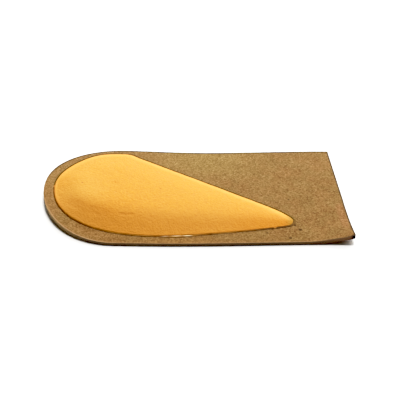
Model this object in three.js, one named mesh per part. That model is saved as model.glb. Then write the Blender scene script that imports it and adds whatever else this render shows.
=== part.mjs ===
import * as THREE from "three";

// Heel wedge: a fibre board with a foam wedge glued on top.
// Millimetres. +X towards the toes, -Y the side of the thick edge, +Z up, lying on z = 0.
// The tables below measure x from the heel end and y from the board's middle line.

// Base board
const BOARD_THICK = 1.5;
const BOARD_RINGS = [0, 0.05, 0.16, 0.3, 0.46, 0.64, 0.82, 1];
const BOARD_SPINE = { startX: 32, startY: 0.6, endX: 112, endY: -3, pull: 1.25 };

// Outline of the board, from the heel end along the near side and back along the far side.
// heading: way the edge runs, in degrees. before, after: reach of the curve on each side of the point.
// steps: pieces up to the next point.
const BOARD_OUTLINE = [
  { at: "heel end", x: 0, y: 1.8, heading: -90, before: 20, after: 17.3, steps: 15 },
  { at: "near heel", x: 30.5, y: -31.35, heading: -1, before: 18.3, after: 8, steps: 8 },
  { at: "near middle", x: 55.1, y: -31.7, heading: 0, before: 10, after: 24, steps: 20 },
  { at: "near corner", x: 126.1, y: -30.45, heading: 0, before: 22, after: 0.7, steps: 3 },
  { at: "near end of cut", x: 127, y: -29.35, heading: 97, before: 0.7, after: 0, steps: 8 },
  { at: "middle of cut", x: 123.9, y: -1.8, heading: 97, before: 0, after: 0, steps: 8 },
  { at: "far end of cut", x: 120.05, y: 30.2, heading: 97, before: 0, after: 0.5, steps: 3 },
  { at: "far corner", x: 119.2, y: 30.65, heading: 180, before: 0.5, after: 20, steps: 16 },
  { at: "waist", x: 67.1, y: 29.55, heading: 180, before: 18, after: 14, steps: 12 },
  { at: "far heel", x: 30.2, y: 31.2, heading: 180, before: 11, after: 13.1, steps: 15 },
];

// Warp of the board: the heel end and the near front corner are curled up off the surface
const HEEL_CURL = { from: 31, lift: 2.4 };
const CORNER_CURL = { x: 105.1, y: -30.15, heading: -39.8, reach: 17.9, lift: 3.4 };

// Foam wedge
const SEAT_GAP = 0.3;
const FOOT_EDGE = 0.3;
const WEDGE_RINGS = [0, 0.05, 0.12, 0.2, 0.29, 0.39, 0.5, 0.64, 0.8, 1];
const WEDGE_SPINE = { startX: 30, startY: 1.5, endX: 101, endY: -17, pull: 1.2 };

// Outline of the wedge's foot, in the same order. slope: rise of the skirt from that point, in degrees.
// glue: width of the bead of glue there.
const WEDGE_OUTLINE = [
  { at: "heel end", x: 4.45, y: 3, heading: -90, before: 7.5, after: 10.2, steps: 12, slope: 27, glue: 0.4 },
  { at: "near heel", x: 17.2, y: -19.5, heading: -31, before: 9.5, after: 9.5, steps: 12, slope: 34, glue: 0.4 },
  { at: "near side", x: 48.5, y: -26.85, heading: 0, before: 11.8, after: 14.3, steps: 24, slope: 30, glue: 0.4 },
  { at: "near tip", x: 100.7, y: -20.35, heading: 11.9, before: 14, after: 1.5, steps: 4, slope: 20, glue: 0.55 },
  { at: "tip", x: 102.75, y: -17, heading: 95, before: 1.6, after: 1.2, steps: 6, slope: 22, glue: 0.9 },
  { at: "far tip", x: 95.1, y: -9.75, heading: 146, before: 5, after: 10, steps: 20, slope: 22, glue: 0.85 },
  { at: "far turn", x: 39.8, y: 24.7, heading: 148.3, before: 11.2, after: 4.9, steps: 6, slope: 20.5, glue: 0.65 },
  { at: "far side", x: 29.1, y: 28.35, heading: 180, before: 7.2, after: 6.5, steps: 9, slope: 16, glue: 0.6 },
  { at: "far heel", x: 13.05, y: 21.1, heading: -134.3, before: 7.1, after: 6.8, steps: 9, slope: 21, glue: 0.65 },
];

// The skirt gets steeper from the foot up, by this share of its slope for each millimetre
const SKIRT_FLARE = 0.017;
const FAR_EDGE_SLOPE = 21;
const FAR_EDGE = WEDGE_OUTLINE.find((row) => row.at === "far turn");

// Top of the wedge: full height along the near shoulder of the heel, falling to the far side and to the tip
const TOP = { heel: 6.7, tip: 0.8, taperFrom: 30, taperPower: 1.58, shoulderY: -12.5, fall: 0.066 };
const CROWN = { rise: 1.05, middleY: 1, halfWidth: 25 };
const SHOULDER = { heel: 4, tip: 4.3 };

// Bead of dried glue round the foot of the wedge
const BEAD = { gap: 0.15, high: 0.25 };

// Section of the bead. out: share of its width, away from the foam. up: share of its height.
const BEAD_SECTION = [
  { out: 0, up: 0 },
  { out: 1, up: 0 },
  { out: 0.85, up: 0.55 },
  { out: 0.4, up: 1 },
  { out: 0, up: 1 },
];
const BEAD_SWELLS = [
  { at: "run of spilt glue", x: 56, y: -26.8, extra: 0.8, spread: 6 },
  { at: "tip", x: 102.9, y: -18.6, extra: 0.35, spread: 2.2 },
];

const FINISHES = {
  board: { color: "#ab834d", roughness: 0.85, metalness: 0 },
  foam: { color: "#fdc75a", roughness: 0.7, metalness: 0 },
  glue: { color: "#5a3413", roughness: 0.35, metalness: 0 },
};

const radians = THREE.MathUtils.degToRad;
const lerp = THREE.MathUtils.lerp;
const heading = (degrees) => new THREE.Vector2(Math.cos(radians(degrees)), Math.sin(radians(degrees)));

// A smooth edge through the rows of an outline table; every point keeps the slope and glue between its rows
function edgePoints(rows) {
  const points = [];
  rows.forEach((row, k) => {
    const next = rows[(k + 1) % rows.length];
    const start = new THREE.Vector2(row.x, row.y);
    const end = new THREE.Vector2(next.x, next.y);
    const leave = heading(row.heading).multiplyScalar(row.after).add(start);
    const arrive = heading(next.heading).multiplyScalar(-next.before).add(end);
    const curve = new THREE.CubicBezierCurve(start, leave, arrive, end);
    for (let s = 0; s < row.steps; s += 1) {
      const t = s / row.steps;
      const point = curve.getPoint(t);
      for (const column of ["slope", "glue"]) {
        point[column] = lerp(row[column] ?? 0, next[column] ?? 0, THREE.MathUtils.smoothstep(t, 0, 1));
      }
      points.push(point);
    }
  });
  return points;
}

// How far the warped board is lifted off the surface
function liftAt(x, y) {
  const heel = Math.max(0, (HEEL_CURL.from - x) / HEEL_CURL.from);
  const out = heading(CORNER_CURL.heading);
  const past = (x - CORNER_CURL.x) * out.x + (y - CORNER_CURL.y) * out.y;
  const corner = Math.max(0, past / CORNER_CURL.reach);
  return HEEL_CURL.lift * heel ** 2 + CORNER_CURL.lift * corner ** 2;
}

const boardTopAt = (x, y) => liftAt(x, y) + BOARD_THICK;

// Smallest of several heights, with the change from one to the next rounded off
const softLeast = (power, ...heights) => heights.reduce((sum, h) => sum + h ** -power, 0) ** (-1 / power);

const foot = edgePoints(WEDGE_OUTLINE);
const footTip = WEDGE_OUTLINE.findIndex((row) => row.at === "far tip");
const footTurn = WEDGE_OUTLINE.findIndex((row) => row.at === "far turn");
const stepsBefore = (rows, k) => rows.slice(0, k).reduce((sum, row) => sum + row.steps, 0);
const straightFrom = stepsBefore(WEDGE_OUTLINE, footTip);
const straightTo = stepsBefore(WEDGE_OUTLINE, footTurn);
const curvedFoot = [...foot.slice(straightTo), ...foot.slice(0, straightFrom + 1)];

// Rise of the skirt above the curved part of the foot
function skirtRise(x, y) {
  let nearest = Infinity;
  let slope = 0;
  for (let k = 0; k + 1 < curvedFoot.length; k += 1) {
    const a = curvedFoot[k];
    const b = curvedFoot[k + 1];
    const run = b.clone().sub(a);
    const t = THREE.MathUtils.clamp(((x - a.x) * run.x + (y - a.y) * run.y) / run.lengthSq(), 0, 1);
    const away = Math.hypot(x - a.x - t * run.x, y - a.y - t * run.y);
    if (away < nearest) {
      nearest = away;
      slope = lerp(a.slope, b.slope, t);
    }
  }
  return nearest * Math.tan(radians(slope)) * (1 + SKIRT_FLARE * nearest);
}

// Rise above the straight far edge
function farRise(x, y) {
  const along = heading(FAR_EDGE.heading);
  const inside = (y - FAR_EDGE.y) * along.x - (x - FAR_EDGE.x) * along.y;
  return Math.max(0, inside) * Math.tan(radians(FAR_EDGE_SLOPE));
}

// Thickness of the foam at a place on its foot
function foamAt(x, y) {
  const tipX = WEDGE_SPINE.endX;
  const along = THREE.MathUtils.clamp((x - TOP.taperFrom) / (tipX - TOP.taperFrom), 0, 1);
  const bow = CROWN.rise * ((y - CROWN.middleY) / CROWN.halfWidth) ** 2;
  const across = (TOP.fall * (y - TOP.shoulderY) + bow) * (1 - along);
  const top = lerp(TOP.heel, TOP.tip, along ** TOP.taperPower) - across;
  const power = lerp(SHOULDER.heel, SHOULDER.tip, along);
  return FOOT_EDGE + softLeast(power, skirtRise(x, y), farRise(x, y), Math.max(top, TOP.tip));
}

const wedgeBottomAt = (x, y) => boardTopAt(x, y) + SEAT_GAP;
const wedgeTopAt = (x, y) => wedgeBottomAt(x, y) + foamAt(x, y);

// A closed solid over an outline, between a bottom and a top; its rings shrink from the edge to a spine
function solidOver(edge, rings, spine, bottomAt, topAt) {
  const around = edge.length;
  const half = around / 2;
  const core = (i) => {
    const along = (Math.min(i, around - i) / half) ** spine.pull;
    return new THREE.Vector2(lerp(spine.startX, spine.endX, along), lerp(spine.startY, spine.endY, along));
  };
  const positions = [];
  const index = [];
  const number = { top: [], bottom: [] };
  const last = rings.length - 1;
  for (const [side, heightAt] of [["top", topAt], ["bottom", bottomAt]]) {
    rings.forEach((share, r) => {
      number[side][r] = edge.map((point, i) => {
        const folded = r === last && i > half;
        if (folded) return null;
        const place = point.clone().lerp(core(i), share);
        positions.push(place.x, place.y, heightAt(place.x, place.y));
        return positions.length / 3 - 1;
      });
    });
    number[side][last].forEach((value, i, row) => {
      if (value === null) row[i] = row[around - i];
    });
  }
  const face = (a, b, c) => {
    if (a !== b && b !== c && c !== a) index.push(a, b, c);
  };
  for (let i = 0; i < around; i += 1) {
    const j = (i + 1) % around;
    for (let r = 0; r < last; r += 1) {
      const [t, u] = [number.top[r], number.top[r + 1]];
      const [b, c] = [number.bottom[r], number.bottom[r + 1]];
      face(t[i], t[j], u[j]);
      face(t[i], u[j], u[i]);
      face(b[i], c[j], b[j]);
      face(b[i], c[i], c[j]);
    }
    const [t, b] = [number.top[0], number.bottom[0]];
    face(b[i], b[j], t[j]);
    face(b[i], t[j], t[i]);
  }
  return geometryFrom(positions, index);
}

// The glue bead: a small section carried round the foot of the wedge
function beadRound(edge) {
  const around = edge.length;
  const positions = [];
  const index = [];
  edge.forEach((point, i) => {
    const ahead = edge[(i + 1) % around];
    const behind = edge[(i + around - 1) % around];
    const out = ahead.clone().sub(behind).normalize();
    out.set(out.y, -out.x);
    const swell = BEAD_SWELLS.reduce((sum, spot) => {
      const away = Math.hypot(point.x - spot.x, point.y - spot.y) / spot.spread;
      return sum + spot.extra * Math.exp(-(away ** 2));
    }, 0);
    for (const corner of BEAD_SECTION) {
      const place = out.clone().multiplyScalar(BEAD.gap + (point.glue + swell) * corner.out).add(point);
      positions.push(place.x, place.y, boardTopAt(place.x, place.y) + BEAD.gap + BEAD.high * corner.up);
    }
  });
  const sides = BEAD_SECTION.length;
  for (let i = 0; i < around; i += 1) {
    const here = i * sides;
    const next = ((i + 1) % around) * sides;
    for (let s = 0; s < sides; s += 1) {
      const t = (s + 1) % sides;
      index.push(here + s, next + t, here + t, here + s, next + s, next + t);
    }
  }
  return geometryFrom(positions, index);
}

function geometryFrom(positions, index) {
  const geometry = new THREE.BufferGeometry();
  geometry.setAttribute("position", new THREE.Float32BufferAttribute(positions, 3));
  geometry.setIndex(index);
  geometry.computeVertexNormals();
  return geometry;
}

function piece(name, geometry, finish) {
  const mesh = new THREE.Mesh(geometry, new THREE.MeshStandardMaterial(finish));
  mesh.name = name;
  return mesh;
}

const boardEdge = edgePoints(BOARD_OUTLINE);
const wedge = new THREE.Group();
wedge.name = "heel_wedge";
wedge.add(
  piece("base_board", solidOver(boardEdge, BOARD_RINGS, BOARD_SPINE, liftAt, boardTopAt), FINISHES.board),
  piece("foam_wedge", solidOver(foot, WEDGE_RINGS, WEDGE_SPINE, wedgeBottomAt, wedgeTopAt), FINISHES.foam),
  piece("glue_bead", beadRound(foot), FINISHES.glue),
);

// The origin is under the middle of the board
const middle = new THREE.Box3().setFromObject(wedge).getCenter(new THREE.Vector3());
wedge.children.forEach((mesh) => mesh.geometry.translate(-middle.x, -middle.y, 0));

export default wedge;
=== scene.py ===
import math

import bpy
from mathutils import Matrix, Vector
from mathutils.geometry import intersect_point_line


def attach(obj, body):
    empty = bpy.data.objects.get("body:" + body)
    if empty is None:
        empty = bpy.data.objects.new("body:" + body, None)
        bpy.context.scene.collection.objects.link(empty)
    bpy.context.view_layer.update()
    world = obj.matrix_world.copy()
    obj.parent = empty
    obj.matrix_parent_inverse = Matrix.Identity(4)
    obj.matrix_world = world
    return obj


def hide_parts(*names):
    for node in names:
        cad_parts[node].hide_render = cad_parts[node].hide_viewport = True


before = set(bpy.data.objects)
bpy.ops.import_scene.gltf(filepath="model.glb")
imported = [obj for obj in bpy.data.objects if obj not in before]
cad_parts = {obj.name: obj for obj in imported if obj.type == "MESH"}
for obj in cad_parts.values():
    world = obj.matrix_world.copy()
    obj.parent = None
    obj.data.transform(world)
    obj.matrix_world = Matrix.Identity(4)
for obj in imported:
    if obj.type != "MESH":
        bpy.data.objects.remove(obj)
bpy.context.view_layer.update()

MM = 0.001

# Camera: the photograph looks down on the thick side
VIEW_ELEVATION = math.radians(38)
VIEW_DISTANCE = 600 * MM
VIEW_AIM = Vector((1.43, -1.2, 0)) * MM
VIEW_NEAREST = 10 * MM
LENS_MM = 130
SENSOR_MM = 36

# Lamp: high above, leaning to the back and the right
LAMP_LIGHT = 1.06 * math.pi
LAMP_SPREAD = math.radians(20)
LAMP_BACK = math.radians(7)
LAMP_RIGHT = math.radians(7)

# Room: a bright wall behind, dim and warm elsewhere
WALL_TILT = math.radians(60)
WALL_TURN = math.radians(16)
WALL_LIGHT = 9
WALL_FALL = 8
WALL_TINT = (1, 1, 1)
ROOM_LIGHT = 0.09
ROOM_TINT = (1, 0.82, 0.2)

# Floor: white, and a hair below the board's uneven underside
FLOOR_SIZE = 8
FLOOR_DROP = 0.03 * MM
FLOOR_WHITE = 0.97
FLOOR_ROUGH = 0.9

# Film: its black and white levels, and points between them as (scene share, picture share)
FILM_BLACK = (0.045, 0.04, 0.021)
FILM_WHITE = 1.4
FILM_CURVE = [(0.2, 0.284), (0.4, 0.566), (0.53, 0.715), (0.66, 0.82), (0.82, 0.925)]
ALL_COLOURS = 3

# Meshes: how close two spots are the same, how flat two triangles are one face, and what counts as steep
MERGE_DISTANCE = 0.001 * MM
FLAT_ANGLE = math.radians(60)
STEEP = 0.5
FINENESS = 2

# Board shape: its rim is rounded and raised a little by the cutter, and its faces are uneven
RIM_ROUND = 0.1 * MM
RIM_STEPS = 2
RIM_RISE = 0.1 * MM
RIM_WIDTH = 0.2 * RIM_ROUND
RIM_TOP = 0.9
BOARD_SHARP = math.radians(50)
BOARD_SMOOTH = math.radians(40)
BOARD_UNEVEN = {"grain": 1.5 * MM, "depth": 0.06 * MM}

# Foam shape: it settles on the board, keeps a crisp foot, and is smoothed round the end of its spine
FOAM_SETTLE = 0.27 * MM
FOOT_SHARP = math.radians(30)
FOOT_CREASE = 0.8
SPINE_END = Vector((-33.5, 1.6, 8)) * MM
SPINE_REACH = 9 * MM
SPINE_SMOOTHING = {"factor": 0.5, "repeat": 30}
FOAM_SMOOTH = math.radians(50)
FOAM_UNEVEN = {"grain": 9 * MM, "depth": 0.15 * MM}

# Glue shape: it settles into the corner between the foam and the board, and swells unevenly
GLUE_SETTLE = 0.12 * MM
GLUE_SWELL = 0.06 * MM
GLUE_UNEVEN = {"grain": 2 * MM, "depth": 0.12 * MM}

# Noise patterns: the width of a blotch, and how many finer layers it has and how strong they are
NOISES = {
    "board patches": {"width": 9 * MM, "detail": 3, "roughness": 0.55},
    "board tints": {"width": 6 * MM, "detail": 2, "roughness": 0.55},
    "board grain": {"width": 0.62 * MM, "detail": 3, "roughness": 0.65},
    "board fibres": {"width": 0.9 * MM, "detail": 3, "roughness": 0.6},
    "board layers": {"width": 0.5 * MM, "detail": 3, "roughness": 0.6},
    "foam clouds": {"width": 12 * MM, "detail": 3, "roughness": 0.55},
    "foam mottle": {"width": 2.2 * MM, "detail": 4, "roughness": 0.6},
    "foam grain": {"width": 0.8 * MM, "detail": 3, "roughness": 0.6},
    "glue runs": {"width": 4 * MM, "detail": 3, "roughness": 0.55},
}
MIDDLE = 0.5

# Marks: how a spot fades round its radius, a streak across its width, and the pick of speckled scraps
SPOT_OUTER = 1.3
SPOT_INNER = 0.6
STREAK_CORE = 0.3
SPECK_PICK = 0.02

# Board patterns: scraps, fibres that run two ways, and random specks
SCRAP_WIDTH = 0.5 * MM
FIBRE_TURNS = (0.5, -0.9)
FIBRE_STRETCH = (4, 1, 1)
FIBRE_BAND = (0.08, 0.22)
BOARD_SPECKS = {"spacing": 6 * MM, "band": (0.075, 0.035), "channel": 2, "rarity": 0.7, "strength": 0.6}

# Board colour: how much each pattern lightens it and stands out, and how it pales to the far side as
# painted light
BOARD_LEVEL = {"patches": 0.22, "grain": 0.85, "scraps": 0.42, "fibres": 0.08}
BOARD_RELIEF = {"grain": 0.6, "scraps": 0.3, "fibres": 0.25, "specks": -0.5}
BOARD_PAINTED_FALLOFF = 0.002 / MM
BOARD_SURFACE = {"rough": 0.825, "uneven": 0.25, "shine": 0.1, "bump": 0.05 * MM}

# Board tints: shades as (level, share of the tint), contrast by channel, and the tints it runs between
BOARD_SHADES = [(0.0, 0.35), (0.3, 0.74), (0.5, 1.0), (0.72, 1.27), (1.0, 1.8)]
BOARD_CONTRAST = (0.92, 1.2, 1.85)
BOARD_OLIVE = (0.2, 0.118, 0.0352)
BOARD_ORANGE = (0.203, 0.111, 0.0328)
TINT_BAND = (-0.2, 0.2)

# Faded patches of the board, by place and width in millimetres
BOARD_PATCHES = [
    {"start": (-14, 27), "end": (22, 24), "width": 17, "tint": (0.215, 0.136, 0.04)},
    {"start": (-50, -19), "end": (-30, -29), "width": 7, "tint": (0.222, 0.121, 0.036)},
    {"start": (58.6, -6), "end": (60.6, -22), "width": 2.4, "tint": (0.228, 0.12, 0.04)},
    {"start": (-20, -29.6), "end": (6, -29.2), "width": 4, "tint": (0.219, 0.12, 0.0335)},
]

# Dark flecks of the board, by place and radius in millimetres; the last is painted shade on the tip of the
# curled corner
BOARD_FLECKS_AND_CORNER_SHADE = [
    {"x": 41.9, "y": -22.6, "radius": 0.75, "dark": 0.85},
    {"x": 28.5, "y": -24.6, "radius": 0.5, "dark": 0.7},
    {"x": 37.7, "y": -27.9, "radius": 0.6, "dark": 0.8},
    {"x": 39.9, "y": -19.9, "radius": 0.5, "dark": 0.8},
    {"x": 30.8, "y": -22.2, "radius": 0.36, "dark": 0.8},
    {"x": 38.1, "y": -2.8, "radius": 0.45, "dark": 0.7},
    {"x": 55.3, "y": 2.5, "radius": 0.4, "dark": 0.5},
    {"x": 40.4, "y": 15.0, "radius": 0.34, "dark": 0.5},
    # Painted shade: the black tip of the curled front corner
    {"x": 63.0, "y": -29.9, "radius": 1.5, "dark": 1.0},
]
FLECK_AND_CORNER_SHADE_COLOUR = (0.055, 0.027, 0.004)

# Board rim: darker at the front and the far side, paler at the near side, with fades in millimetres
RIM_BAND = (0.85, 0.35)
RIM_DARK_FRONT = (48, 55)
RIM_DARK_FAR = (4, 18)
RIM_DARK_SHARE = 0.75
RIM_DARK_COLOUR = (0.04, 0.028, 0.012)
RIM_PALE_NEAR = (-2, -14)
RIM_PALE_HEEL = (-30, -45)
RIM_PALE_SHARE = 0.4
RIM_PALE_HEEL_SHARE = 0.5
RIM_PALE_COLOUR = (0.33, 0.205, 0.095)

# Cut edge of the board: the colours its layers run between, and fades along it in millimetres; painted
# shade darkens its foot and the curled corner, painted light pales it at the heel
CUT_FACING = (0.8, 0.45)
LAYER_STRETCH = (4, 4, 0.6)
EDGE_RISE = (0.15, 0.85)
# Painted shade: the cut edge is darker at its foot, where it meets the floor
EDGE_FOOT_SHADED = [(0.057, 0.041, 0.018), (0.114, 0.081, 0.034)]
EDGE_HIGH = [(0.098, 0.063, 0.026), (0.196, 0.13, 0.053)]
# Painted light: the cut edge at the heel is paler, where more light reaches it
EDGE_HEEL_LIT = [(0.2, 0.132, 0.048), (0.34, 0.235, 0.095)]
EDGE_HEEL_LIT_FADE = (-40, -58)
EDGE_FRONT = (0.21, 0.108, 0.042)
EDGE_FRONT_FADE = (35, 60)
EDGE_FRONT_SHARE = 0.5
# Painted shade: the cut edge turns near black at the curled corner
EDGE_CORNER_SHADE = (0.02, 0.012, 0.005)
EDGE_CORNER_SHADE_FADE = (61.2, 62.6)

# Pits of the foam and the crease along its near shoulder, by place in millimetres
FOAM_SPECKS = {"spacing": 2.5 * MM, "band": (0.12, 0.05), "channel": 0, "rarity": 0.8, "strength": 0.5}
FOAM_PITS = [
    {"x": -47.2, "y": 0.8, "radius": 0.4},
    {"x": -45.4, "y": 1.2, "radius": 0.25},
    {"x": -14.8, "y": -2.5, "radius": 0.35},
]
SHOULDER_CREASE = [
    {"start": (-52.4, -8.5), "end": (-44.7, -14.2), "width": 2.4},
    {"start": (-44.7, -14.2), "end": (-34.7, -18.1), "width": 2.2},
    {"start": (-31, -18.2), "end": (-25.4, -18.8), "width": 0.8},
]
# Painted shade: the pits and the crease are darkened by these shares
PIT_SHADE_SHARE = 0.55
CREASE_SHADE_SHARE = 0.06
HOLLOW_SHADE_COLOUR = (0.28, 0.08, 0.0096)

# Foam colour: how much each pattern lightens it and stands out, and the colours its skin runs between
FOAM_LEVEL = {"clouds": 0.25, "mottle": 0.5, "grain": 3.6}
FOAM_RELIEF = {"mottle": 0.8, "grain": 0.9, "pits": -0.3, "crease": -0.4}
FOAM_SURFACE = {"rough": 0.65, "uneven": 0.2, "shine": 0.12, "bump": 0.3 * MM}
FOAM_SKIN = [(0.545, 0.209, 0.0188), (0.62, 0.251, 0.0252)]

# Zones of the foam in the order they are tinted, with fades along and across it in millimetres; the near
# side and the heel are lightened as painted light, the point darkened as painted shade
FOAM_TINTS_AND_PAINTED_LIGHT = {
    # Painted light: the near slope is lighter than the skin, against the lamp's shade there
    "near side": {"tint": (0.63, 0.275, 0.043), "share": 0.7, "along": (36, 10), "across": (-11, -21)},
    "front half": {"tint": (0.572, 0.213, 0.0185), "share": 0.6, "along": (0, 38)},
    # Painted shade: the point turns away from the light
    "point": {"tint": (0.37, 0.182, 0.017), "share": 1, "along": (35, 38.8)},
    # Painted light: the heel's left-facing slope is lighter than the skin, against the lamp's shade there
    "heel": {"tint": (0.618, 0.279, 0.0465), "share": 0.9, "along": (-30, -53), "across": (11, -7),
             "least": 0.2},
}

# Painted highlight along the foam's far rim, narrow round the heel, with fades in millimetres
FAR_HIGHLIGHT_COLOUR = (0.68, 0.29, 0.052)
FAR_HIGHLIGHT_NARROW = (1.8, 0.6)
FAR_HIGHLIGHT_WIDE = (4.4, 1)
FAR_HIGHLIGHT_WIDE_ALONG = (-58, -48)
FAR_HIGHLIGHT_WIDE_ACROSS = (5, 14)
FAR_HIGHLIGHT_SIDE = {"slant": 0.07, "offset": 14, "fade": (-2, 3)}
FAR_HIGHLIGHT_END = (38.5, 35)

# Glue colours: those it runs between at the heel and the near side, then its point and far side, where the
# darker colour is partly the glue's own and partly painted shade along the foam's foot
GLUE_BAND = (-0.15, 0.15)
GLUE_HEEL = [(0.13, 0.05, 0.004), (0.225, 0.1, 0.014)]
GLUE_NEAR = [(0.2, 0.091, 0.018), (0.33, 0.17, 0.036)]
GLUE_NEAR_FADE = (-44, -28)
GLUE_POINT_SHADED = (0.155, 0.085, 0.025)
GLUE_POINT_SHADE_FADE = (18, 32)
GLUE_FAR_SHADED = (0.095, 0.059, 0.002)
GLUE_FAR_SHADE_SIDE = {"slant": 0.2, "offset": 8, "fade": (-4, 4)}
GLUE_SURFACE = {"rough": 0.575, "uneven": 0.25, "shine": 0.02, "bump": 0.05 * MM}

# Painted highlights on the glue at the near side, and two crumbs of foam stuck in it, by place in
# millimetres
PAINTED_GLINTS = [
    {"start": (-13.4, -27.1), "end": (-11.6, -27.05), "width": 0.24, "bright": 0.45},
    {"start": (-9.4, -26.95), "end": (-6.6, -26.85), "width": 0.26, "bright": 0.85},
    {"start": (-5, -26.8), "end": (-2.4, -26.65), "width": 0.28, "bright": 1.0},
]
GLINT_TAPER = 1.4
GLINT_COLOUR = (0.78, 0.64, 0.38)
FOAM_CRUMBS = [
    {"x": 31.7, "y": -21.4, "radius": 0.6},
    {"x": -59.2, "y": 3.6, "radius": 0.6},
]
CRUMB_COLOUR = (0.5, 0.235, 0.045)


def only(piece):
    """Selects one piece alone and makes it the one that operators work on."""
    bpy.ops.object.select_all(action="DESELECT")
    piece.select_set(True)
    bpy.context.view_layer.objects.active = piece


def edit(piece, picks):
    """Opens a piece for editing by vertices or edges, with nothing selected."""
    only(piece)
    bpy.ops.object.mode_set(mode="EDIT")
    bpy.ops.mesh.select_mode(type=picks)
    bpy.ops.mesh.select_all(action="DESELECT")


def edit_spots(piece, wanted):
    """Opens a piece for editing with the vertices selected that a test picks."""
    edit(piece, "VERT")
    stop_editing()
    for spot in piece.data.vertices:
        spot.select = wanted(spot)
    bpy.ops.object.mode_set(mode="EDIT")


def stop_editing():
    """Leaves editing, so that the mesh holds what was done."""
    bpy.ops.object.mode_set(mode="OBJECT")


def paint(piece, name, value_at):
    """Marks every vertex of a piece with a value that its finish can read."""
    layer = piece.data.attributes.new(name, "FLOAT", "POINT")
    for spot in piece.data.vertices:
        layer.data[spot.index].value = value_at(spot)


def paint_from_edge(piece, name):
    """Marks every vertex of a piece with its distance from the piece's outline, seen from above."""
    spots = piece.data.vertices
    sides = []
    for wall in [face for face in piece.data.polygons if abs(face.normal.z) < STEEP]:
        corners = [spots[corner].co.to_2d() for corner in wall.vertices]
        sides.append((corners[0], max(corners, key=lambda corner: (corner - corners[0]).length)))

    def distance_to(place, start, end):
        _, share = intersect_point_line(place, start, end)
        return (place - start.lerp(end, min(max(share, 0), 1))).length

    paint(piece, name, lambda spot: min(distance_to(spot.co.to_2d(), *side) for side in sides))


def apply_modifier(piece, kind, **settings):
    """Adds a modifier to a piece and applies it."""
    only(piece)
    modifier = piece.modifiers.new(kind.title(), kind)
    for name, value in settings.items():
        setattr(modifier, name, value)
    bpy.ops.object.modifier_apply(modifier=modifier.name)


def divide(piece, way):
    """Divides the faces of a piece, and rounds them too if the way is not SIMPLE."""
    apply_modifier(piece, "SUBSURF", subdivision_type=way, levels=FINENESS, render_levels=FINENESS)


def roughen(piece, name, grain, depth):
    """Pushes a surface in and out by a soft noise of the given grain and depth."""
    noise = bpy.data.textures.new(name, "CLOUDS")
    noise.noise_scale = grain
    noise.noise_depth = 2
    settings = {"texture_coords": "LOCAL", "strength": depth, "mid_level": MIDDLE}
    apply_modifier(piece, "DISPLACE", texture=noise, **settings)


def start_from(node, name):
    """A new piece from a copy of a CAD node, with its loose triangles joined into four-sided faces."""
    piece = bpy.data.objects.new(name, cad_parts[node].data.copy())
    bpy.context.scene.collection.objects.link(piece)
    piece.data.materials.clear()
    edit(piece, "VERT")
    bpy.ops.mesh.select_all(action="SELECT")
    bpy.ops.mesh.remove_doubles(threshold=MERGE_DISTANCE)
    bpy.ops.mesh.tris_convert_to_quads(face_threshold=FLAT_ANGLE, shape_threshold=FLAT_ANGLE)
    stop_editing()
    return piece


class Tone:
    """One socket of a mix. Operators on tones add the Math nodes that work them out."""

    def __init__(self, mix, socket):
        self.mix = mix
        self.socket = socket

    def math(self, operation, *values):
        return self.mix.node("ShaderNodeMath", {"operation": operation}, dict(enumerate(values)))

    def __add__(self, other):
        return self.math("ADD", self, other)

    def __radd__(self, other):
        return self.math("ADD", other, self)

    def __sub__(self, other):
        return self.math("SUBTRACT", self, other)

    def __rsub__(self, other):
        return self.math("SUBTRACT", other, self)

    def __mul__(self, other):
        return self.math("MULTIPLY", self, other)

    def __pow__(self, other):
        return self.math("POWER", self, other)

    def size(self):
        return self.math("ABSOLUTE", self)

    def most(self, other):
        return self.math("MAXIMUM", self, other)

    def over(self, low, high):
        """0 below low, 1 above high, smooth between; low may be the larger."""
        sockets = {"Value": self, "From Min": low, "From Max": high}
        return self.mix.node("ShaderNodeMapRange", {"interpolation_type": "SMOOTHSTEP"}, sockets)

    def fade(self, places):
        """The same, for a place or a distance and two places in millimetres."""
        low, high = places
        return self.over(low * MM, high * MM)


def weighted(patterns, weights):
    """The sum of patterns, each times its weight."""
    return sum(patterns[name] * weight for name, weight in weights.items())


def most_of(tones):
    """The most of several tones at each place."""
    most = tones[0]
    for tone in tones[1:]:
        most = most.most(tone)
    return most


class Mix:
    """The nodes of a finish or of the room light."""

    def __init__(self, tree):
        self.tree = tree
        self.tree.nodes.clear()

    def node(self, kind, settings, sockets, output=0):
        """Adds a node with its settings and sockets, and gives its output as a tone."""
        made = self.tree.nodes.new(kind)
        for name, value in settings.items():
            setattr(made, name, value)
        for name, value in sockets.items():
            if isinstance(value, Tone):
                self.tree.links.new(value.socket, made.inputs[name])
            else:
                made.inputs[name].default_value = value
        return Tone(self, made.outputs[output]) if made.outputs else None

    def ramp(self, level, stops):
        """A colour that follows a level through stops of (level, colour)."""
        tone = self.node("ShaderNodeValToRGB", {}, {"Fac": level})
        elements = tone.socket.node.color_ramp.elements
        while len(elements) < len(stops):
            elements.new(1)
        for element, (position, colour) in zip(elements, stops):
            element.position = position
            element.color = (*colour, 1)
        return tone

    def part(self, vector, axis):
        """One part of a place or a colour."""
        return self.node("ShaderNodeSeparateXYZ", {}, {"Vector": vector}, axis)

    def blend(self, share, under, over):
        """A colour laid over another by a share. Colours are sockets 6 and 7 of the node, and output 2."""
        settings = {"data_type": "RGBA", "blend_type": "MIX"}
        under, over = [(*side, 1) if isinstance(side, tuple) else side for side in (under, over)]
        return self.node("ShaderNodeMix", settings, {0: share, 6: under, 7: over}, 2)


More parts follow.
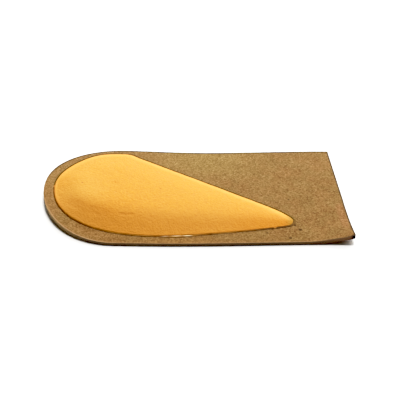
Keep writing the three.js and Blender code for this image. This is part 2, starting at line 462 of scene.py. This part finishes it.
class Finish(Mix):
    """A material whose patterns lie on the piece's own coordinates."""

    def __init__(self, name):
        self.material = bpy.data.materials.new(name)
        self.material.use_nodes = True
        super().__init__(self.material.node_tree)
        self.place = self.node("ShaderNodeTexCoord", {}, {}, "Object")
        self.along = self.part(self.place, 0)
        self.across = self.part(self.place, 1)

    def noise(self, name, place=None):
        """Soft noise round zero whose blotches are about as wide as its width."""
        kind = NOISES[name]
        sockets = {"Vector": place or self.place, "Scale": 1 / kind["width"], "Detail": kind["detail"],
                   "Roughness": kind["roughness"]}
        return self.node("ShaderNodeTexNoise", {"noise_dimensions": "3D"}, sockets) - MIDDLE

    def scraps(self, width, output):
        """Random flat scraps of about the given width."""
        return self.node("ShaderNodeTexVoronoi", {}, {"Vector": self.place, "Scale": 1 / width}, output)

    def specks(self, spacing, band, channel, rarity, strength):
        """Round specks in the middle of a few scraps, picked by a channel of their random colour."""
        pick = self.part(self.scraps(spacing, "Color"), channel).over(rarity, rarity + SPECK_PICK)
        return self.scraps(spacing, "Distance").over(*band) * pick * strength

    def stretched(self, turn, stretch):
        """The place with patterns turned about the upright and stretched."""
        sockets = {"Vector": self.place, "Rotation": (0, 0, turn), "Scale": stretch}
        return self.node("ShaderNodeMapping", {"vector_type": "TEXTURE"}, sockets)

    def mark(self, name):
        """A value painted on the mesh."""
        return self.node("ShaderNodeAttribute", {"attribute_name": name}, {}, "Fac")

    def near(self, x, y, radius):
        """1 on a round spot seen from above, fading round its radius. Millimetres."""
        sockets = {0: self.place, 1: (1, 1, 0)}
        flat = self.node("ShaderNodeVectorMath", {"operation": "MULTIPLY"}, sockets)
        sockets = {0: flat, 1: (x * MM, y * MM, 0)}
        away = self.node("ShaderNodeVectorMath", {"operation": "DISTANCE"}, sockets, "Value")
        return away.fade((radius * SPOT_OUTER, radius * SPOT_INNER))

    def past(self, start, way):
        """How far the surface lies past a start in a level direction, in millimetres."""
        sockets = {0: self.place, 1: (way.x / MM, way.y / MM, 0)}
        reach = self.node("ShaderNodeVectorMath", {"operation": "DOT_PRODUCT"}, sockets, "Value")
        return reach - start.dot(way)

    def streak(self, start, end, width, taper=None):
        """1 along a line seen from above, fading at its sides and tapering at its ends. Millimetres."""
        taper = taper or width
        start, end = Vector(start), Vector(end)
        length = (end - start).length
        way = (end - start).normalized()
        along = self.past(start, way)
        across = self.past(start, Vector((-way.y, way.x)))
        ends = along.over(-taper, taper) * along.over(length + taper, length - taper)
        return ends * across.size().over(width, width * STREAK_CORE)

    def zone(self, along, across=None, least=0):
        """1 in a zone seen from above, fading along to 0 and across to the least share. Millimetres."""
        share = self.along.fade(along)
        if across:
            share = share * (self.across.fade(across) * (1 - least) + least)
        return share

    def far_side(self, slant, offset, fade):
        """1 on the far side of a line that slants over the piece. Millimetres."""
        return (self.across + self.along * slant + offset * MM).fade(fade)

    def surface(self, sockets):
        """The finished material, from the sockets of its surface."""
        made = self.node("ShaderNodeBsdfPrincipled", {}, sockets, "BSDF")
        self.node("ShaderNodeOutputMaterial", {}, {"Surface": made})
        return self.material

    def rough_surface(self, colour, pattern, relief, rough, uneven, shine, bump):
        """The material with a colour, a roughness that a pattern makes uneven, and a relief."""
        normal = self.node("ShaderNodeBump", {}, {"Height": relief, "Distance": bump}, "Normal")
        return self.surface({"Base Color": colour, "Roughness": pattern * uneven + rough,
                             "Specular IOR Level": shine, "Normal": normal})


def toned_rim(board, colour):
    """The board's colour, darker along its front and far rims and paler along its near rim."""
    rim = board.mark("inner").fade(RIM_BAND)
    darkened = board.along.fade(RIM_DARK_FRONT).most(board.across.fade(RIM_DARK_FAR))
    heel = board.along.fade(RIM_PALE_HEEL) * RIM_PALE_HEEL_SHARE + RIM_PALE_SHARE
    paled = (1 - darkened) * board.across.fade(RIM_PALE_NEAR) * heel
    colour = board.blend(rim * darkened * RIM_DARK_SHARE, colour, RIM_DARK_COLOUR)
    return board.blend(rim * paled, colour, RIM_PALE_COLOUR)


def cut_edge(board):
    """The colour of the board's cut edge: layered, with painted shade at its foot and its corner and
    painted light at the heel.
    """
    layers = board.noise("board layers", board.stretched(0, LAYER_STRETCH)) + MIDDLE
    low, high, heel = [board.blend(layers, *pair) for pair in (EDGE_FOOT_SHADED, EDGE_HIGH, EDGE_HEEL_LIT)]
    # Painted shade at the foot of the cut edge
    edge = board.blend(board.mark("rise").over(*EDGE_RISE), low, high)
    # Painted light on the cut edge at the heel
    edge = board.blend(board.along.fade(EDGE_HEEL_LIT_FADE), edge, heel)
    edge = board.blend(board.along.fade(EDGE_FRONT_FADE) * EDGE_FRONT_SHARE, edge, EDGE_FRONT)
    # Painted shade on the cut edge at the curled corner
    return board.blend(board.along.fade(EDGE_CORNER_SHADE_FADE), edge, EDGE_CORNER_SHADE)


def fibre_board_finish():
    """Pressed fibre board: tan, flecked with lighter and darker scraps, with a cut edge."""
    board = Finish("pressed fibre board")
    ways = [board.stretched(turn, FIBRE_STRETCH) for turn in FIBRE_TURNS]
    one_way, other_way = [board.noise("board fibres", way).over(*FIBRE_BAND) for way in ways]
    specks = [board.specks(**BOARD_SPECKS)]
    for fleck in BOARD_FLECKS_AND_CORNER_SHADE:
        specks.append(board.near(fleck["x"], fleck["y"], fleck["radius"]) * fleck["dark"])
    patterns = {
        "patches": board.noise("board patches"),
        "grain": board.noise("board grain"),
        "scraps": board.part(board.scraps(SCRAP_WIDTH, "Color"), 0) - MIDDLE,
        "fibres": one_way - other_way,
        "specks": most_of(specks),
    }
    # The board pales towards the far side: painted light, darker towards the near side as if the lamp's
    # light fell off there
    level = weighted(patterns, BOARD_LEVEL) + board.across * BOARD_PAINTED_FALLOFF + MIDDLE

    def shades(tint):
        stops = [(stop, [part * share ** power for part, power in zip(tint, BOARD_CONTRAST)])
                 for stop, share in BOARD_SHADES]
        return board.ramp(level, stops)

    tints = board.noise("board tints").over(*TINT_BAND)
    colour = board.blend(tints, shades(BOARD_OLIVE), shades(BOARD_ORANGE))
    for patch in BOARD_PATCHES:
        faded = board.streak(patch["start"], patch["end"], patch["width"])
        colour = board.blend(faded, colour, shades(patch["tint"]))
    # Dark flecks and specks, and painted shade on the tip of the curled corner
    colour = board.blend(patterns["specks"], colour, FLECK_AND_CORNER_SHADE_COLOUR)
    colour = toned_rim(board, colour)
    facing = board.node("ShaderNodeTexCoord", {}, {}, "Normal")
    cut = board.part(facing, 2).size().over(*CUT_FACING)
    colour = board.blend(cut, colour, cut_edge(board))
    relief = weighted(patterns, BOARD_RELIEF)
    return board.rough_surface(colour, patterns["grain"], relief, **BOARD_SURFACE)


def far_rim_highlight(foam):
    """1 on the painted highlight along the foam's far rim."""
    rim = foam.mark("inner")
    wide = foam.along.fade(FAR_HIGHLIGHT_WIDE_ALONG).most(foam.across.fade(FAR_HIGHLIGHT_WIDE_ACROSS))
    highlight = rim.fade(FAR_HIGHLIGHT_NARROW).most(rim.fade(FAR_HIGHLIGHT_WIDE) * wide)
    return highlight * (foam.far_side(**FAR_HIGHLIGHT_SIDE) * foam.along.fade(FAR_HIGHLIGHT_END))


def foam_finish():
    """Moulded foam: warm yellow, softly mottled, with painted light and shade in some zones, painted shade
    in a few pits and a crease, and a painted highlight along its far rim.
    """
    foam = Finish("moulded yellow foam")
    patterns = {
        "clouds": foam.noise("foam clouds"),
        "mottle": foam.noise("foam mottle"),
        "grain": foam.noise("foam grain"),
        "pits": most_of([foam.specks(**FOAM_SPECKS)] + [foam.near(**pit) for pit in FOAM_PITS]),
        "crease": most_of([foam.streak(**fold) for fold in SHOULDER_CREASE]),
    }
    colour = foam.blend(weighted(patterns, FOAM_LEVEL) + MIDDLE, *FOAM_SKIN)
    for zone in FOAM_TINTS_AND_PAINTED_LIGHT.values():
        share = foam.zone(zone["along"], zone.get("across"), zone.get("least", 0)) * zone["share"]
        colour = foam.blend(share, colour, zone["tint"])
    # Painted highlight along the foam's far rim
    colour = foam.blend(far_rim_highlight(foam), colour, FAR_HIGHLIGHT_COLOUR)
    # Painted shade in the pits and the crease
    hollow_shade = (patterns["pits"] * PIT_SHADE_SHARE).most(patterns["crease"] * CREASE_SHADE_SHARE)
    colour = foam.blend(hollow_shade, colour, HOLLOW_SHADE_COLOUR)
    relief = weighted(patterns, FOAM_RELIEF)
    return foam.rough_surface(colour, patterns["mottle"], relief, **FOAM_SURFACE)


def dried_glue_finish():
    """Dried glue: brown, uneven along its run, darker at its point and far side partly as painted shade,
    with painted highlights and crumbs of foam.
    """
    glue = Finish("dried brown glue")
    runs = glue.noise("glue runs")
    heel, near_side = [glue.blend(runs.over(*GLUE_BAND), *pair) for pair in (GLUE_HEEL, GLUE_NEAR)]
    colour = glue.blend(glue.along.fade(GLUE_NEAR_FADE), heel, near_side)
    # Partly painted shade: the glue darkens at the point and the far side
    colour = glue.blend(glue.along.fade(GLUE_POINT_SHADE_FADE), colour, GLUE_POINT_SHADED)
    colour = glue.blend(glue.far_side(**GLUE_FAR_SHADE_SIDE), colour, GLUE_FAR_SHADED)
    # Painted highlights on the glue at the near side
    for glint in PAINTED_GLINTS:
        glint_share = glue.streak(glint["start"], glint["end"], glint["width"], GLINT_TAPER) * glint["bright"]
        colour = glue.blend(glint_share, colour, GLINT_COLOUR)
    crumbs = most_of([glue.near(**crumb) for crumb in FOAM_CRUMBS])
    colour = glue.blend(crumbs, colour, CRUMB_COLOUR)
    return glue.rough_surface(colour, runs, runs, **GLUE_SURFACE)


def floor_finish():
    """Plain matte white."""
    floor = Finish("white floor")
    white = (FLOOR_WHITE, FLOOR_WHITE, FLOOR_WHITE, 1)
    return floor.surface({"Base Color": white, "Roughness": FLOOR_ROUGH})


def set_camera():
    """Looks at the part from the photograph's place."""
    back = Vector((0, -math.cos(VIEW_ELEVATION), math.sin(VIEW_ELEVATION)))
    place = VIEW_AIM + back * VIEW_DISTANCE
    bpy.ops.object.camera_add(location=place, rotation=(math.pi / 2 - VIEW_ELEVATION, 0, 0))
    camera = bpy.context.object
    camera.data.lens = LENS_MM
    camera.data.sensor_width = SENSOR_MM
    camera.data.clip_start = VIEW_NEAREST
    bpy.context.scene.camera = camera


def set_light():
    """A soft lamp high above, and a room whose back wall glows and whose front is dim."""
    bpy.ops.object.light_add(type="SUN", rotation=(-LAMP_BACK, LAMP_RIGHT, 0))
    lamp = bpy.context.object
    lamp.data.energy = LAMP_LIGHT
    lamp.data.angle = LAMP_SPREAD
    world = bpy.data.worlds.new("studio room")
    world.use_nodes = True
    room = Mix(world.node_tree)
    lean = math.sin(WALL_TILT)
    brightest = (lean * math.sin(WALL_TURN), lean * math.cos(WALL_TURN), math.cos(WALL_TILT))
    look = room.node("ShaderNodeTexCoord", {}, {}, "Generated")
    sockets = {0: look, 1: brightest}
    aim = room.node("ShaderNodeVectorMath", {"operation": "DOT_PRODUCT"}, sockets, "Value")
    glow = aim.most(0) ** WALL_FALL * WALL_LIGHT
    wall = room.node("ShaderNodeBackground", {}, {"Color": (*WALL_TINT, 1), "Strength": glow})
    dim = room.node("ShaderNodeBackground", {}, {"Color": (*ROOM_TINT, 1), "Strength": ROOM_LIGHT})
    light = room.node("ShaderNodeAddShader", {}, {0: wall, 1: dim})
    room.node("ShaderNodeOutputWorld", {}, {"Surface": light})
    bpy.context.scene.world = world


def set_film():
    """Plain colours, the dark end pulled down and the bright end rolled off as in the photograph."""
    film = bpy.context.scene.view_settings
    film.view_transform = "Standard"
    film.use_curve_mapping = True
    curves = film.curve_mapping
    curves.black_level = FILM_BLACK
    curves.white_level = (FILM_WHITE, FILM_WHITE, FILM_WHITE)
    points = curves.curves[ALL_COLOURS].points
    for scene_share, picture_share in FILM_CURVE:
        points.new(scene_share, picture_share)
    curves.update()


def lay_floor():
    """The white floor belongs to the picture and not to the part."""
    bpy.ops.object.select_all(action="DESELECT")
    bpy.ops.mesh.primitive_plane_add(size=FLOOR_SIZE, location=(0, 0, -FLOOR_DROP))
    floor = bpy.context.object
    floor.name = "white_floor"
    floor.data.materials.append(floor_finish())


def make_board():
    """The board's copy gets a rounded edge, a raised rim and uneven faces."""
    board = start_from("base_board", "pressed_fibre_board")
    paint(board, "rise", lambda spot: 1.0 if spot.normal.z > 0 else 0.0)
    paint_from_edge(board, "inner")
    edit(board, "EDGE")
    bpy.ops.mesh.edges_select_sharp(sharpness=BOARD_SHARP)
    bpy.ops.mesh.bevel(offset=RIM_ROUND, segments=RIM_STEPS, affect="EDGES")
    stop_editing()
    divide(board, "SIMPLE")
    rise = [mark.value for mark in board.data.attributes["rise"].data]
    inner = [mark.value for mark in board.data.attributes["inner"].data]
    edit_spots(board, lambda spot: rise[spot.index] > RIM_TOP and inner[spot.index] < RIM_WIDTH)
    bpy.ops.transform.translate(value=(0, 0, RIM_RISE))
    stop_editing()
    roughen(board, "uneven fibre", **BOARD_UNEVEN)
    only(board)
    bpy.ops.object.shade_smooth_by_angle(angle=BOARD_SMOOTH)
    board.data.materials.append(fibre_board_finish())
    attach(board, "root")
    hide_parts("base_board")


def make_wedge():
    """The wedge's copy settles on the board, keeps its foot crisp and is rounded everywhere else."""
    wedge = start_from("foam_wedge", "moulded_foam_wedge")
    paint_from_edge(wedge, "inner")
    edit(wedge, "EDGE")
    bpy.ops.mesh.edges_select_sharp(sharpness=FOOT_SHARP)
    bpy.ops.transform.edge_crease(value=FOOT_CREASE)
    bpy.ops.mesh.select_all(action="SELECT")
    bpy.ops.transform.translate(value=(0, 0, -FOAM_SETTLE))
    stop_editing()
    divide(wedge, "CATMULL_CLARK")
    edit_spots(wedge, lambda spot: spot.normal.z > STEEP and (spot.co - SPINE_END).length < SPINE_REACH)
    bpy.ops.mesh.vertices_smooth(**SPINE_SMOOTHING)
    stop_editing()
    roughen(wedge, "uneven foam", **FOAM_UNEVEN)
    only(wedge)
    bpy.ops.object.shade_smooth_by_angle(angle=FOAM_SMOOTH)
    wedge.data.materials.append(foam_finish())
    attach(wedge, "root")
    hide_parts("foam_wedge")


def make_glue():
    """The glue's copy settles into the corner it fills, and is swollen, rounded and uneven."""
    glue = start_from("glue_bead", "dried_glue_line")
    edit(glue, "VERT")
    bpy.ops.mesh.select_all(action="SELECT")
    bpy.ops.transform.translate(value=(0, 0, -GLUE_SETTLE))
    bpy.ops.transform.shrink_fatten(value=GLUE_SWELL)
    stop_editing()
    divide(glue, "CATMULL_CLARK")
    roughen(glue, "uneven glue", **GLUE_UNEVEN)
    only(glue)
    bpy.ops.object.shade_smooth()
    glue.data.materials.append(dried_glue_finish())
    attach(glue, "root")
    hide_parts("glue_bead")


set_camera()
set_light()
set_film()
lay_floor()
make_board()
make_wedge()
make_glue()

bpy.context.view_layer.update()
